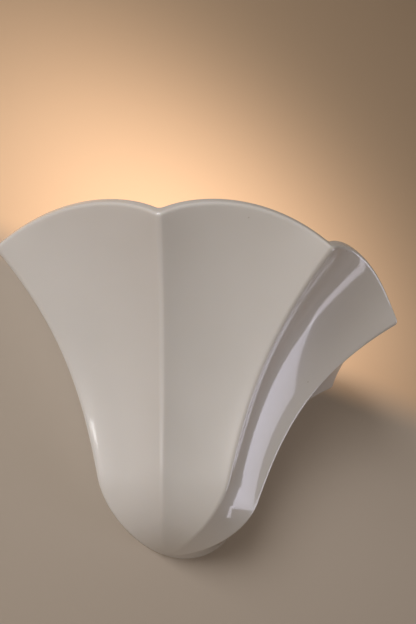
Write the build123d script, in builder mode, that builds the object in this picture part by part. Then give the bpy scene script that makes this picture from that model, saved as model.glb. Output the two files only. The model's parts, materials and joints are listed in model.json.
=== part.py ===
from build123d import *
import os
from math import atan, cos, pi, radians, sin, sqrt

# Wall sconce: a half bell of glazed ceramic with an eight-ray fluted plan, cut by the
# wall through its axis.  It hangs on two studs of a steel bracket, and an arm of the
# bracket carries the lampholder with a small opal lamp.
# Frame: millimetres, +X to the right seen from the room, +Z up, the wall is Y = 0 and
# the sconce lies on the -Y side.  The origin is midway between the two wall screws.

os.makedirs("parts", exist_ok=True)

# ---------------------------------------------------------------- driving dimensions
# Shade: heights are measured upwards from its lowest point
tip_above_screws = 72.0         # rim tips above the line of the wall screws
shade_height = 166.0            # lowest point to the rim tips
tip_radius = 150.0              # axis to each rim tip
wall = 7.3                      # ceramic thickness
bowl_height = 38.0              # the rounded bottom
ridge_bowl_radius = 47.0
valley_bowl_radius = 44.0
ridge_spread = 0.296            # steady widening per millimetre of height
valley_spread = 0.18
ridge_flare_power = 3.85        # how late the flare opens
valley_flare_power = 3.0
valley_tip_share = 0.8093       # middle of a flute over tip_radius, level with the tips
ridge_rounding = 3.0
bottom_flat = 1.2               # height at which the ground bottom ends the bowl
rim_rise = 11.75                # arch of each lobe over the line between its tips
rim_slope = 51.5                # tilt of the rim's end face, degrees
rim_margin = 32.0               # blank left above the tips before the rim is cut
lug_half_height = 9.0
lug_thickness = 9.0
lug_hole_radius = 3.5

# Bracket and its fasteners
plate_thickness = 1.5
bar_length = 122.0
bar_top = 17.0
bar_bottom = -8.0
tab_length = 90.0
tab_bottom = -32.0
plate_corner = 5.0
wall_screw_spacing = 60.0
wall_slot_length = 12.0
wall_slot_radius = 2.5
stud_x = 49.0
stud_z = 6.0
stud_radius = 2.5
stud_proud = 11.0               # stud left beyond the washer for the thumb nut
collar_radius = 3.5
collar_thickness = 1.2
cushion_radius = 7.0
cushion_thickness = 1.5
nut_washer_radius = 7.0
nut_washer_thickness = 1.0
nut_rim_radius = 8.0
nut_rim_thickness = 4.5
nut_boss_radius = 5.0
nut_boss_length = 4.5
nut_grooves = 24
nut_groove_radius = 0.45

# Clearances
bolt_clearance = 0.05           # radial, screw in its own hole
turning_clearance = 0.06        # radial, parts that turn on a shaft
slip_gap = 0.1                  # along the stud, cushion to washer
draw_up_gap = 0.3               # along the stud, washer to thumb nut
wall_gap = 0.3                  # ends of screws stop this far short of the wall
soft_clearance = 0.3            # radial, cushions on their studs

# Arm and nipple
arm_width = 16.0
arm_thickness = 1.8
arm_top = -3.0
arm_bend = 3.0
arm_screw_shares = (0.14, 0.45) # places of the screws down the arm's leg
arm_screw_radius = 2.0
arm_nose_corner = 5.0
shelf_above_bottom = 46.0       # lowest point of the shade to the top of the arm's shelf
lamp_y = -35.0                  # lamp axis, measured from the wall
shelf_nose = 11.0
nipple_radius = 5.0
nipple_bore = 4.0
nipple_below = 6.0
nipple_above = 4.6
nipple_nut_flats = 14.0
nipple_nut_thickness = 3.0
nipple_washer_radius = 8.0
nipple_washer_thickness = 1.0

# Lampholder
holder_radius = 14.0
holder_wall = 1.8
base_height = 18.0
base_floor = 5.0
shell_height = 30.0
shell_top_radius = 12.5
shell_straight = 4.0
shell_bore = 10.5
shell_lip = 2.5
shell_mouth = 8.2
grip_grooves = 18
grip_groove_radius = 0.8
grip_height = 15.0
flange_thickness = 2.0
flange_radius = 13.0
insert_spigot = 1.0
insert_tube_radius = 9.2
insert_floor = 4.0
sleeve_bore = 7.0
sleeve_wall = 0.4
sleeve_height = 17.0
sleeve_below_top = 3.0
strip = 0.4                     # thickness of the contact strips
strip_width = 4.0
contact_gap = 0.4               # centre contact to lamp before it is screwed home
contact_leg_x = 3.6
side_leg_x = -4.8
holder_lead_x = 2.6
holder_terminal_width = 4.4
holder_terminal_depth = 6.0
holder_terminal_height = 7.0
holder_screw_radius = 0.9
holder_screw_head = 1.7

# Lamp with the small screw cap and a globe of 45 mm
lamp_gap = 0.5                  # lamp neck over the holder's top
cap_crest = 6.9
cap_thread_depth = 0.75
cap_pitch = 2.822
cap_turns = 4
cap_length = 17.0
cap_bore = 5.5
cap_skirt_radius = 7.9
cap_skirt_height = 2.0
insulator_height = 3.6
insulator_low_radius = 3.6
tip_contact_radius = 2.6
tip_contact_height = 1.9
globe_radius = 22.5
globe_centre = 33.0             # above the holder's top
globe_wall = 1.1
housing_height = 23.0
housing_low_radius = 9.0
housing_waist_radius = 15.5
housing_wall = 1.2
board_thickness = 1.2
board_below_rim = 2.6
board_clearance = 0.4
led_count = 8
led_ring = 9.0
led_size = 2.8
led_height = 0.7
driver_width = 11.0
driver_height = 15.0
driver_thickness = 1.2
capacitor_radius = 3.0
capacitor_height = 8.0

# Wiring
wire_radius = 1.1
wire_bend = 7.5
wire_dip_above_bottom = 29.5
pole_pitch = 9.0
first_pole_x = -19.0
block_end = 6.0                 # outer pole to the end of the block
block_height = 18.0
block_depth = 14.0
block_z = -17.0
pole_depth = 4.5                # bracket face to the wire
clamp_radius = 2.2
clamp_length = 14.0
clamp_screw_radius = 1.2
clamp_screw_offset = 4.0
clamp_screw_head = 1.6
clamp_screw_head_height = 2.5
clamp_screw_access = 1.9
block_groove = 1.2
block_screw_radius = 1.5
block_screw_head = 2.7
block_counterbore = 2.9
block_counterbore_depth = 6.0
earth_share = 0.78              # place of the earth screw down the arm's leg
earth_washer_radius = 4.2
earth_washer_thickness = 0.6
earth_teeth = 12
lug_ring_radius = 4.5
lug_plate = 0.8
lug_barrel_radius = 1.9
lug_barrel_end = 11.0
grommet_x = 24.0
grommet_z = -13.0
grommet_hole = 6.0
grommet_bore = 3.75
grommet_lip = 7.6
grommet_front = 2.0

# ------------------------------------------------------------------ derived places
bottom_z = tip_above_screws - shade_height
shelf_z = bottom_z + shelf_above_bottom
wire_dip_z = bottom_z + wire_dip_above_bottom
arm_leg = arm_top - shelf_z
earth_z = arm_top - earth_share * arm_leg
valley_tip_radius = valley_tip_share * tip_radius
half_ray = pi / 8
ridge_flare = tip_radius - ridge_bowl_radius - ridge_spread * shade_height
valley_flare = valley_tip_radius - valley_bowl_radius - valley_spread * shade_height
plate_front = -plate_thickness
lug_back = plate_front - cushion_thickness
lug_front = lug_back - lug_thickness
washer_back = lug_front - cushion_thickness - slip_gap
nut_back = washer_back - nut_washer_thickness - draw_up_gap
stud_end = nut_back - stud_proud
arm_front = plate_front - arm_thickness
shelf_under = shelf_z - arm_thickness
base_top = shelf_z + base_height
holder_top = base_top + shell_height
insert_bottom = base_top - insert_spigot
sleeve_top = holder_top - sleeve_below_top
sleeve_bottom = sleeve_top - sleeve_height
cap_bottom = holder_top - cap_length
cap_top = holder_top + lamp_gap
tip_contact_top = cap_bottom - insulator_height
tip_contact_bottom = tip_contact_top - tip_contact_height
globe_z = holder_top + globe_centre
housing_top = cap_top + housing_height
housing_top_radius = sqrt(globe_radius ** 2 - (globe_z - housing_top) ** 2)
poles = [first_pole_x - i * pole_pitch for i in range(3)]
block_x = poles[1]
block_width = 2 * (pole_pitch + block_end)
block_bottom = block_z - block_height / 2
block_screw_x = (poles[1] + poles[2]) / 2
pole_y = plate_front - pole_depth
stud_places = [(-stud_x, stud_z), (stud_x, stud_z)]
wall_slot_places = [(-wall_screw_spacing / 2, 0), (wall_screw_spacing / 2, 0)]
arm_screw_places = [(0, arm_top - share * arm_leg) for share in arm_screw_shares]


# -------------------------------------------------------------------- shade shape
def bowl_share(height):
    """How far the rounded bottom has opened at a height, 0 to 1."""
    share = min(height / bowl_height, 1.0)
    return sqrt(1.0 - (1.0 - share) ** 2)


def valley_radius(height):
    flare = valley_flare * (height / shade_height) ** valley_flare_power
    return bowl_share(height) * valley_bowl_radius + valley_spread * height + flare


def ridge_radius(height):
    if height > shade_height:
        # above the tips only the flutes are kept, so the ridge keeps their proportion
        return valley_radius(height) * tip_radius / valley_tip_radius
    flare = ridge_flare * (height / shade_height) ** ridge_flare_power
    return bowl_share(height) * ridge_bowl_radius + ridge_spread * height + flare


def slope(profile, height):
    step = 0.5
    return (profile(height + step) - profile(height - step)) / (2 * step)


def ridge_half_angle(height):
    """Half of the angle between the two flutes that meet in a ridge, in radians."""
    half_chord = ridge_radius(height) * sin(half_ray)
    sag = ridge_radius(height) * cos(half_ray) - valley_radius(height)
    return pi / 2 - half_ray - 2 * atan(sag / half_chord)


def outer_corner(height):
    """Sharp corner whose rounding leaves the ridge at its own radius."""
    half_angle = ridge_half_angle(height)
    return ridge_radius(height) + ridge_rounding * (1 / sin(half_angle) - 1)


def inner_corner(height):
    half_angle = ridge_half_angle(height)
    lean = slope(ridge_radius, height) * sin(half_angle)
    return outer_corner(height) - wall * sqrt(1 + lean ** 2) / sin(half_angle)


def inner_valley(height):
    return valley_radius(height) - wall * sqrt(1 + slope(valley_radius, height) ** 2)


def at_angle(radius, angle):
    return (radius * cos(angle), radius * sin(angle))


def star_section(height, corner, valley):
    """Eight hollow flutes between eight rounded rays, at a height above the bottom."""
    with BuildSketch(Plane.XY.offset(bottom_z + height)) as section:
        with BuildLine():
            for ray in range(8):
                start = ray * 2 * half_ray
                ThreePointArc(
                    at_angle(corner, start),
                    at_angle(valley, start + half_ray),
                    at_angle(corner, start + 2 * half_ray),
                )
        make_face()
        fillet(section.vertices(), ridge_rounding)
    return section.sketch


outer_heights = [bottom_flat, 4, 9, 16, 26, 40, 60, 82, 104, 124, 142, 156]
outer_heights = [h for h in outer_heights if h < shade_height - 4]
outer_heights += [shade_height, shade_height + rim_margin / 2, shade_height + rim_margin]
inner_floor = bottom_flat + wall
inner_heights = [inner_floor, inner_floor + 4] + [h for h in outer_heights if h > inner_floor + 7]


def lobe_blank_above(lobe):
    """Everything over one lobe's arched rim, to be cut away."""
    middle = pi + (lobe + 0.5) * 2 * half_ray
    tilt = radians(rim_slope)
    outward = Vector(cos(middle), sin(middle), 0)
    across = Vector(-sin(middle), cos(middle), 0)
    through = outward * cos(tilt) - Vector(0, 0, sin(tilt))
    face = Plane(origin=(0, 0, tip_above_screws), x_dir=across, z_dir=through)
    half_chord = tip_radius * sin(half_ray)
    chord_y = sin(tilt) * tip_radius * cos(half_ray)
    reach = 2 * tip_radius
    with BuildSketch(face) as arch:
        with BuildLine():
            ThreePointArc(
                (-half_chord, chord_y), (0, chord_y + rim_rise), (half_chord, chord_y)
            )
            Polyline(
                (half_chord, chord_y), (reach, chord_y), (reach, reach),
                (-reach, reach), (-reach, chord_y), (-half_chord, chord_y),
            )
        make_face()
    slab = extrude(arch.sketch, amount=reach, both=True)
    first = at_angle(4 * tip_radius, middle - half_ray)
    last = at_angle(4 * tip_radius, middle + half_ray)
    with BuildSketch(Plane.XY.offset(bottom_z)) as ray_plan:
        with BuildLine():
            Polyline((0, 0), first, last, (0, 0))
        make_face()
    sector = extrude(ray_plan.sketch, amount=2 * shade_height)
    return slab & sector


def from_wall(y):
    """Plane parallel to the wall at a depth y, drawn as x and z, extruding to the room."""
    return Plane.XZ.offset(-y)


def ear(side):
    """Block for one stud, long enough to run into the wall of the bell."""
    with BuildPart() as block:
        with BuildSketch(from_wall(lug_back)):
            with Locations((side * stud_x, stud_z)):
                Circle(lug_half_height)
            with Locations((side * (stud_x + tip_radius / 4), stud_z)):
                Rectangle(tip_radius / 2, 2 * lug_half_height)
        extrude(amount=lug_thickness)
    return block.part


rim_blanks = [lobe_blank_above(lobe) for lobe in range(4)]

with BuildPart() as outer_bell:
    loft([star_section(h, outer_corner(h), valley_radius(h)) for h in outer_heights])

with BuildPart() as shade:
    add(outer_bell.part)
    loft(
        [star_section(h, inner_corner(h), inner_valley(h)) for h in inner_heights],
        mode=Mode.SUBTRACT,
    )
    add(ear(-1) & outer_bell.part)
    add(ear(1) & outer_bell.part)
    with BuildSketch(from_wall(0)):
        with Locations(*stud_places):
            Circle(lug_hole_radius)
    extrude(amount=-lug_front + lug_thickness, mode=Mode.SUBTRACT)
    for blank in rim_blanks:
        add(blank, mode=Mode.SUBTRACT)
    split(bisect_by=Plane.XZ, keep=Keep.TOP)
shade.part.label = "shade"
export_step(shade.part, "parts/shade.step")


# ------------------------------------------------------------- bracket and its nuts
with BuildPart() as wall_bracket:
    with BuildSketch(from_wall(0)) as plate_outline:
        with Locations((0, (bar_top + bar_bottom) / 2)):
            Rectangle(bar_length, bar_top - bar_bottom)
        with Locations((0, (bar_top + tab_bottom) / 2)):
            Rectangle(tab_length, bar_top - tab_bottom)
        fillet(plate_outline.vertices(), plate_corner)
        with Locations(*wall_slot_places):
            SlotOverall(wall_slot_length, 2 * wall_slot_radius, mode=Mode.SUBTRACT)
        with Locations(*stud_places):
            Circle(stud_radius + bolt_clearance, mode=Mode.SUBTRACT)
        with Locations(*arm_screw_places):
            Circle(arm_screw_radius + bolt_clearance, mode=Mode.SUBTRACT)
        with Locations((grommet_x, grommet_z)):
            Circle(grommet_hole, mode=Mode.SUBTRACT)
        with Locations((block_screw_x, block_z)):
            Circle(block_screw_radius + bolt_clearance, mode=Mode.SUBTRACT)
    extrude(amount=plate_thickness)
wall_bracket.part.label = "wall_bracket"
export_step(wall_bracket.part, "parts/wall_bracket.step")

with BuildPart() as shade_studs:
    with BuildSketch(from_wall(-wall_gap)):
        with Locations(*stud_places):
            Circle(stud_radius)
    extrude(amount=-stud_end - wall_gap)
    chamfer(shade_studs.edges().group_by(Axis.Y)[0], stud_radius / 5)
    with BuildSketch(from_wall(plate_front)):
        with Locations(*stud_places):
            Circle(collar_radius)
    extrude(amount=collar_thickness)
shade_studs.part.label = "shade_studs"
export_step(shade_studs.part, "parts/shade_studs.step")

with BuildPart() as rear_cushions:
    with BuildSketch(from_wall(plate_front)):
        with Locations(*stud_places):
            Circle(cushion_radius)
            Circle(collar_radius + bolt_clearance, mode=Mode.SUBTRACT)
    extrude(amount=cushion_thickness)
rear_cushions.part.label = "rear_cushions"
export_step(rear_cushions.part, "parts/rear_cushions.step")

with BuildPart() as front_cushions:
    with BuildSketch(from_wall(lug_front)):
        with Locations(*stud_places):
            Circle(cushion_radius)
            Circle(stud_radius + soft_clearance, mode=Mode.SUBTRACT)
    extrude(amount=cushion_thickness)
front_cushions.part.label = "front_cushions"
export_step(front_cushions.part, "parts/front_cushions.step")


def nut_washer(place):
    """Flat washer that rides on one stud in front of its cushion."""
    with BuildPart() as washer:
        with BuildSketch(from_wall(washer_back)):
            with Locations(place):
                Circle(nut_washer_radius)
                Circle(stud_radius + turning_clearance, mode=Mode.SUBTRACT)
        extrude(amount=nut_washer_thickness)
    return washer.part


def thumb_nut(place):
    """Knurled brass nut with a plain boss, turned by hand."""
    with BuildPart() as nut:
        with BuildSketch(from_wall(nut_back)):
            with Locations(place):
                Circle(nut_rim_radius)
                with PolarLocations(nut_rim_radius, nut_grooves):
                    Circle(nut_groove_radius, mode=Mode.SUBTRACT)
        extrude(amount=nut_rim_thickness)
        with BuildSketch(from_wall(nut_back - nut_rim_thickness)):
            with Locations(place):
                Circle(nut_boss_radius)
        extrude(amount=nut_boss_length)
        chamfer(nut.edges().group_by(Axis.Y)[0], nut_boss_radius / 10)
        with BuildSketch(from_wall(nut_back)):
            with Locations(place):
                Circle(stud_radius + turning_clearance)
        extrude(amount=nut_rim_thickness + nut_boss_length, mode=Mode.SUBTRACT)
    return nut.part


with BuildPart() as nut_washer_left:
    add(nut_washer(stud_places[0]))
nut_washer_left.part.label = "nut_washer_left"
export_step(nut_washer_left.part, "parts/nut_washer_left.step")

with BuildPart() as nut_washer_right:
    add(nut_washer(stud_places[1]))
nut_washer_right.part.label = "nut_washer_right"
export_step(nut_washer_right.part, "parts/nut_washer_right.step")

with BuildPart() as thumb_nut_left:
    add(thumb_nut(stud_places[0]))
thumb_nut_left.part.label = "thumb_nut_left"
export_step(thumb_nut_left.part, "parts/thumb_nut_left.step")

with BuildPart() as thumb_nut_right:
    add(thumb_nut(stud_places[1]))
thumb_nut_right.part.label = "thumb_nut_right"
export_step(thumb_nut_right.part, "parts/thumb_nut_right.step")


# ------------------------------------------------------------------ arm and screws
def pan_screw(place, seat, head_radius, head_height, shank_radius, shank_length):
    """Pan-head screw with a cross recess, its head on the room side of the seat."""
    recess_long = 1.2 * head_radius
    recess_wide = 0.22 * head_radius
    with BuildPart() as screw:
        with BuildSketch(from_wall(seat)):
            with Locations(place):
                Circle(head_radius)
        extrude(amount=head_height)
        fillet(screw.edges().group_by(Axis.Y)[0], 0.4 * head_height)
        with BuildSketch(from_wall(seat - head_height)):
            with Locations(place):
                Rectangle(recess_long, recess_wide)
                Rectangle(recess_wide, recess_long)
        extrude(amount=-head_height / 2, mode=Mode.SUBTRACT)
        with BuildSketch(from_wall(seat)):
            with Locations(place):
                Circle(shank_radius)
        extrude(amount=-shank_length)
    return screw.part


with BuildPart() as lamp_arm:
    with BuildSketch(Plane.YZ) as arm_profile:
        with BuildLine():
            Polyline(
                (plate_front, arm_top),
                (plate_front, shelf_under),
                (lamp_y - shelf_nose, shelf_under),
                (lamp_y - shelf_nose, shelf_z),
                (arm_front, shelf_z),
                (arm_front, arm_top),
                close=True,
            )
        make_face()
        heel = arm_profile.vertices().sort_by_distance((plate_front, shelf_under, 0))[0]
        fillet(heel, arm_bend + arm_thickness)
        crook = arm_profile.vertices().sort_by_distance((arm_front, shelf_z, 0))[0]
        fillet(crook, arm_bend)
    extrude(amount=arm_width / 2, both=True)
    nose_edges = lamp_arm.edges().filter_by(Axis.Z).group_by(Axis.Y)[0]
    fillet(nose_edges, arm_nose_corner)
    with BuildSketch(Plane.XY.offset(shelf_under)):
        with Locations((0, lamp_y)):
            Circle(nipple_radius + bolt_clearance)
    extrude(amount=arm_thickness, mode=Mode.SUBTRACT)
    with BuildSketch(from_wall(plate_front)):
        with Locations(*arm_screw_places, (0, earth_z)):
            Circle(arm_screw_radius + bolt_clearance)
    extrude(amount=arm_thickness, mode=Mode.SUBTRACT)
lamp_arm.part.label = "lamp_arm"
export_step(lamp_arm.part, "parts/lamp_arm.step")

arm_screw_head = 2 * arm_screw_radius
arm_screw_head_height = 1.2 * arm_screw_radius
with BuildPart() as arm_screws:
    for arm_screw_place in arm_screw_places:
        add(
            pan_screw(
                arm_screw_place, arm_front, arm_screw_head, arm_screw_head_height,
                arm_screw_radius, -arm_front - wall_gap,
            )
        )
arm_screws.part.label = "arm_screws"
export_step(arm_screws.part, "parts/arm_screws.step")

with BuildPart() as nipple:
    with BuildSketch(Plane.XY.offset(shelf_under - nipple_below)):
        with Locations((0, lamp_y)):
            Circle(nipple_radius)
            Circle(nipple_bore, mode=Mode.SUBTRACT)
    extrude(amount=nipple_below + arm_thickness + nipple_above)
nipple.part.label = "nipple"
export_step(nipple.part, "parts/nipple.step")

with BuildPart() as nipple_washer:
    with BuildSketch(Plane.XY.offset(shelf_under - nipple_washer_thickness)):
        with Locations((0, lamp_y)):
            Circle(nipple_washer_radius)
            Circle(nipple_radius + bolt_clearance, mode=Mode.SUBTRACT)
    extrude(amount=nipple_washer_thickness)
nipple_washer.part.label = "nipple_washer"
export_step(nipple_washer.part, "parts/nipple_washer.step")

with BuildPart() as nipple_nut:
    nut_top = shelf_under - nipple_washer_thickness
    with BuildSketch(Plane.XY.offset(nut_top - nipple_nut_thickness)):
        with Locations((0, lamp_y)):
            RegularPolygon(nipple_nut_flats / 2, 6, major_radius=False)
            Circle(nipple_radius + bolt_clearance, mode=Mode.SUBTRACT)
    extrude(amount=nipple_nut_thickness)
nipple_nut.part.label = "nipple_nut"
export_step(nipple_nut.part, "parts/nipple_nut.step")


# ---------------------------------------------------------------------- lampholder
lamp_section = Plane(origin=(0, lamp_y, 0), x_dir=(1, 0, 0), z_dir=(0, -1, 0))
lamp_line = Axis((0, lamp_y, 0), (0, 0, 1))


def turned(points):
    """Closed outline of radius and height, turned about the lamp axis."""
    with BuildPart() as turning:
        with BuildSketch(lamp_section):
            with BuildLine():
                Polyline(*points, close=True)
            make_face()
        revolve(axis=lamp_line)
    return turning.part


with BuildPart() as lampholder_base:
    add(
        turned([
            (nipple_radius + bolt_clearance, shelf_z),
            (holder_radius, shelf_z),
            (holder_radius, base_top),
            (holder_radius - holder_wall, base_top),
            (holder_radius - holder_wall, shelf_z + base_floor),
            (nipple_radius + bolt_clearance, shelf_z + base_floor),
        ])
    )
lampholder_base.part.label = "lampholder_base"
export_step(lampholder_base.part, "parts/lampholder_base.step")

with BuildPart() as lampholder_insert:
    spigot_radius = holder_radius - holder_wall - bolt_clearance
    flange_top = base_top + flange_thickness
    add(
        turned([
            (0, insert_bottom),
            (spigot_radius, insert_bottom),
            (spigot_radius, base_top),
            (flange_radius, base_top),
            (flange_radius, flange_top),
            (insert_tube_radius, flange_top),
            (insert_tube_radius, sleeve_top),
            (sleeve_bore + sleeve_wall + bolt_clearance, sleeve_top),
            (sleeve_bore + sleeve_wall + bolt_clearance, insert_bottom + insert_floor),
            (0, insert_bottom + insert_floor),
        ])
    )
    with BuildSketch(Plane.XY.offset(insert_bottom)):
        with Locations((contact_leg_x, lamp_y), (side_leg_x, lamp_y)):
            Rectangle(strip + 2 * bolt_clearance, strip_width + 2 * bolt_clearance)
    extrude(amount=insert_floor, mode=Mode.SUBTRACT)
lampholder_insert.part.label = "lampholder_insert"
export_step(lampholder_insert.part, "parts/lampholder_insert.step")

with BuildPart() as lampholder_shell:
    add(
        turned([
            (flange_radius + bolt_clearance, base_top),
            (holder_radius, base_top),
            (holder_radius, base_top + shell_straight),
            (shell_top_radius, holder_top),
            (shell_mouth, holder_top),
            (shell_mouth, holder_top - shell_lip),
            (shell_bore, holder_top - shell_lip),
            (shell_bore, flange_top),
            (flange_radius + bolt_clearance, flange_top),
        ])
    )
    with BuildSketch(Plane.XY.offset(base_top)):
        with Locations((0, lamp_y)):
            with PolarLocations(holder_radius + grip_groove_radius / 2, grip_grooves):
                Circle(grip_groove_radius)
    extrude(amount=grip_height, mode=Mode.SUBTRACT)
lampholder_shell.part.label = "lampholder_shell"
export_step(lampholder_shell.part, "parts/lampholder_shell.step")

with BuildPart() as thread_sleeve:
    with BuildSketch(Plane.XY.offset(sleeve_bottom)):
        with Locations((0, lamp_y)):
            Circle(sleeve_bore + sleeve_wall)
            Circle(sleeve_bore, mode=Mode.SUBTRACT)
    extrude(amount=sleeve_height)
thread_sleeve.part.label = "thread_sleeve"
export_step(thread_sleeve.part, "parts/thread_sleeve.step")


def contact_strip(points):
    """Springy strip bent along points of x and z, centred on the lamp axis."""
    with BuildPart() as bent:
        with BuildSketch(lamp_section):
            with BuildLine():
                Polyline(*points)
            trace(line_width=strip)
        extrude(amount=strip_width / 2, both=True)
    return bent.part


tongue_floor = insert_bottom + insert_floor + strip / 2
tongue_top = tip_contact_bottom - contact_gap - strip / 2
with BuildPart() as centre_contact:
    add(
        contact_strip([
            (contact_leg_x, insert_bottom),
            (contact_leg_x, tongue_floor),
            (-tip_contact_radius, tongue_floor),
            (-tip_contact_radius / 2, tongue_top),
            (tip_contact_radius / 2, tongue_top),
        ])
    )
centre_contact.part.label = "centre_contact"
export_step(centre_contact.part, "parts/centre_contact.step")

with BuildPart() as side_contact:
    sleeve_side_x = -(sleeve_bore + strip / 2)
    add(
        contact_strip([
            (side_leg_x, insert_bottom),
            (side_leg_x, tongue_floor),
            (sleeve_side_x + strip, tongue_floor),
            (sleeve_side_x + strip, sleeve_bottom - strip),
            (sleeve_side_x, sleeve_bottom - strip / 2),
        ])
    )
side_contact.part.label = "side_contact"
export_step(side_contact.part, "parts/side_contact.step")

holder_terminal_bottom = insert_bottom - holder_terminal_height
holder_lead_places = [(-holder_lead_x, lamp_y), (holder_lead_x, lamp_y)]
holder_screw_places = [
    (-holder_lead_x, insert_bottom - holder_terminal_height / 2),
    (holder_lead_x, insert_bottom - holder_terminal_height / 2),
]
holder_terminal_front = lamp_y - holder_terminal_depth / 2
with BuildPart() as holder_terminals:
    with BuildSketch(Plane.XY.offset(holder_terminal_bottom)):
        with Locations(*holder_lead_places):
            Rectangle(holder_terminal_width, holder_terminal_depth)
    extrude(amount=holder_terminal_height)
    with BuildSketch(Plane.XY.offset(holder_terminal_bottom)):
        with Locations(*holder_lead_places):
            Circle(wire_radius + bolt_clearance)
    extrude(amount=0.8 * holder_terminal_height, mode=Mode.SUBTRACT)
    with BuildSketch(from_wall(lamp_y)):
        with Locations(*holder_screw_places):
            Circle(holder_screw_radius + bolt_clearance)
    extrude(amount=holder_terminal_depth, mode=Mode.SUBTRACT)
holder_terminals.part.label = "holder_terminals"
export_step(holder_terminals.part, "parts/holder_terminals.step")


def slotted_screw(place, head_back, head_radius, head_height, shank_radius, tip):
    """Cheese-head screw along the depth, its point towards the wall."""
    slot_width = 0.3 * head_radius
    with BuildPart() as screw:
        with BuildSketch(from_wall(head_back)):
            with Locations(place):
                Circle(head_radius)
        extrude(amount=head_height)
        with BuildSketch(from_wall(head_back - head_height)):
            with Locations(place):
                Rectangle(3 * head_radius, slot_width)
        extrude(amount=-head_height / 3, mode=Mode.SUBTRACT)
        with BuildSketch(from_wall(head_back)):
            with Locations(place):
                Circle(shank_radius)
        extrude(amount=head_back - tip)
    return screw.part


with BuildPart() as holder_terminal_screws:
    for holder_screw_place in holder_screw_places:
        add(
            slotted_screw(
                holder_screw_place, holder_terminal_front, holder_screw_head,
                holder_screw_radius, holder_screw_radius,
                lamp_y - wire_radius - bolt_clearance,
            )
        )
holder_terminal_screws.part.label = "holder_terminal_screws"
export_step(holder_terminal_screws.part, "parts/holder_terminal_screws.step")


# ---------------------------------------------------------------------------- lamp
with BuildPart() as bulb_cap:
    cap_root = cap_crest - cap_thread_depth
    thread_bottom = cap_bottom + cap_pitch / 2
    thread_top = thread_bottom + cap_turns * cap_pitch
    skirt_bottom = holder_top - cap_skirt_height
    with BuildSketch(lamp_section):
        with BuildLine():
            Polyline((cap_bore, cap_top), (cap_bore, cap_bottom), (cap_root, cap_bottom),
                     (cap_root, thread_bottom))
            for turn in range(cap_turns):
                low = thread_bottom + turn * cap_pitch
                ThreePointArc((cap_root, low), (cap_crest, low + cap_pitch / 2),
                              (cap_root, low + cap_pitch))
            Polyline((cap_root, thread_top), (cap_root, skirt_bottom - cap_thread_depth),
                     (cap_skirt_radius, skirt_bottom), (cap_skirt_radius, cap_top),
                     (cap_bore, cap_top))
        make_face()
    revolve(axis=lamp_line)
bulb_cap.part.label = "bulb_cap"
export_step(bulb_cap.part, "parts/bulb_cap.step")

with BuildPart() as bulb_insulator:
    add(
        turned([
            (0, tip_contact_top),
            (insulator_low_radius, tip_contact_top),
            (cap_root, cap_bottom),
            (cap_bore - bolt_clearance, cap_bottom),
            (cap_bore - bolt_clearance, cap_bottom + cap_pitch / 2),
            (0, cap_bottom + cap_pitch / 2),
        ])
    )
bulb_insulator.part.label = "bulb_insulator"
export_step(bulb_insulator.part, "parts/bulb_insulator.step")

with BuildPart() as bulb_tip:
    tip_rim = tip_contact_top - tip_contact_height / 2
    with BuildSketch(lamp_section):
        with BuildLine():
            TangentArc((0, tip_contact_bottom), (tip_contact_radius, tip_rim), tangent=(1, 0))
            Polyline((tip_contact_radius, tip_rim),
                     (tip_contact_radius, tip_contact_top - turning_clearance),
                     (0, tip_contact_top - turning_clearance), (0, tip_contact_bottom))
        make_face()
    revolve(axis=lamp_line)
bulb_tip.part.label = "bulb_tip"
export_step(bulb_tip.part, "parts/bulb_tip.step")

waist_z = (cap_top + housing_top) / 2
with BuildPart() as bulb_housing:
    with BuildSketch(lamp_section):
        with BuildLine():
            ThreePointArc((housing_low_radius, cap_top), (housing_waist_radius, waist_z),
                          (housing_top_radius, housing_top))
            Line((housing_top_radius, housing_top),
                 (housing_top_radius - housing_wall, housing_top))
            ThreePointArc((housing_top_radius - housing_wall, housing_top),
                          (housing_waist_radius - housing_wall, waist_z),
                          (housing_low_radius - housing_wall, cap_top + housing_wall))
            Polyline((housing_low_radius - housing_wall, cap_top + housing_wall),
                     (cap_bore, cap_top + housing_wall), (cap_bore, cap_top),
                     (housing_low_radius, cap_top))
        make_face()
    revolve(axis=lamp_line)
bulb_housing.part.label = "bulb_housing"
export_step(bulb_housing.part, "parts/bulb_housing.step")

board_top = housing_top - board_below_rim
board_radius = housing_top_radius - housing_wall - board_clearance - board_below_rim / 2
with BuildPart() as bulb_board:
    with BuildSketch(Plane.XY.offset(board_top - board_thickness)):
        with Locations((0, lamp_y)):
            Circle(board_radius)
    extrude(amount=board_thickness)
bulb_board.part.label = "bulb_board"
export_step(bulb_board.part, "parts/bulb_board.step")

with BuildPart() as bulb_leds:
    with BuildSketch(Plane.XY.offset(board_top)):
        with Locations((0, lamp_y)):
            with PolarLocations(led_ring, led_count):
                Rectangle(led_size, led_size)
    extrude(amount=led_height)
bulb_leds.part.label = "bulb_leds"
export_step(bulb_leds.part, "parts/bulb_leds.step")

with BuildPart() as bulb_driver:
    driver_bottom = cap_top + housing_wall
    with BuildSketch(Plane.XY.offset(driver_bottom)):
        with Locations((0, lamp_y)):
            Rectangle(driver_width, driver_thickness)
    extrude(amount=driver_height)
    capacitor_y = lamp_y - driver_thickness / 2 - capacitor_radius * 0.9
    with BuildSketch(Plane.XY.offset(driver_bottom + driver_height - capacitor_height)):
        with Locations((0, capacitor_y)):
            Circle(capacitor_radius)
    extrude(amount=capacitor_height)
bulb_driver.part.label = "bulb_driver"
export_step(bulb_driver.part, "parts/bulb_driver.step")

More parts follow.
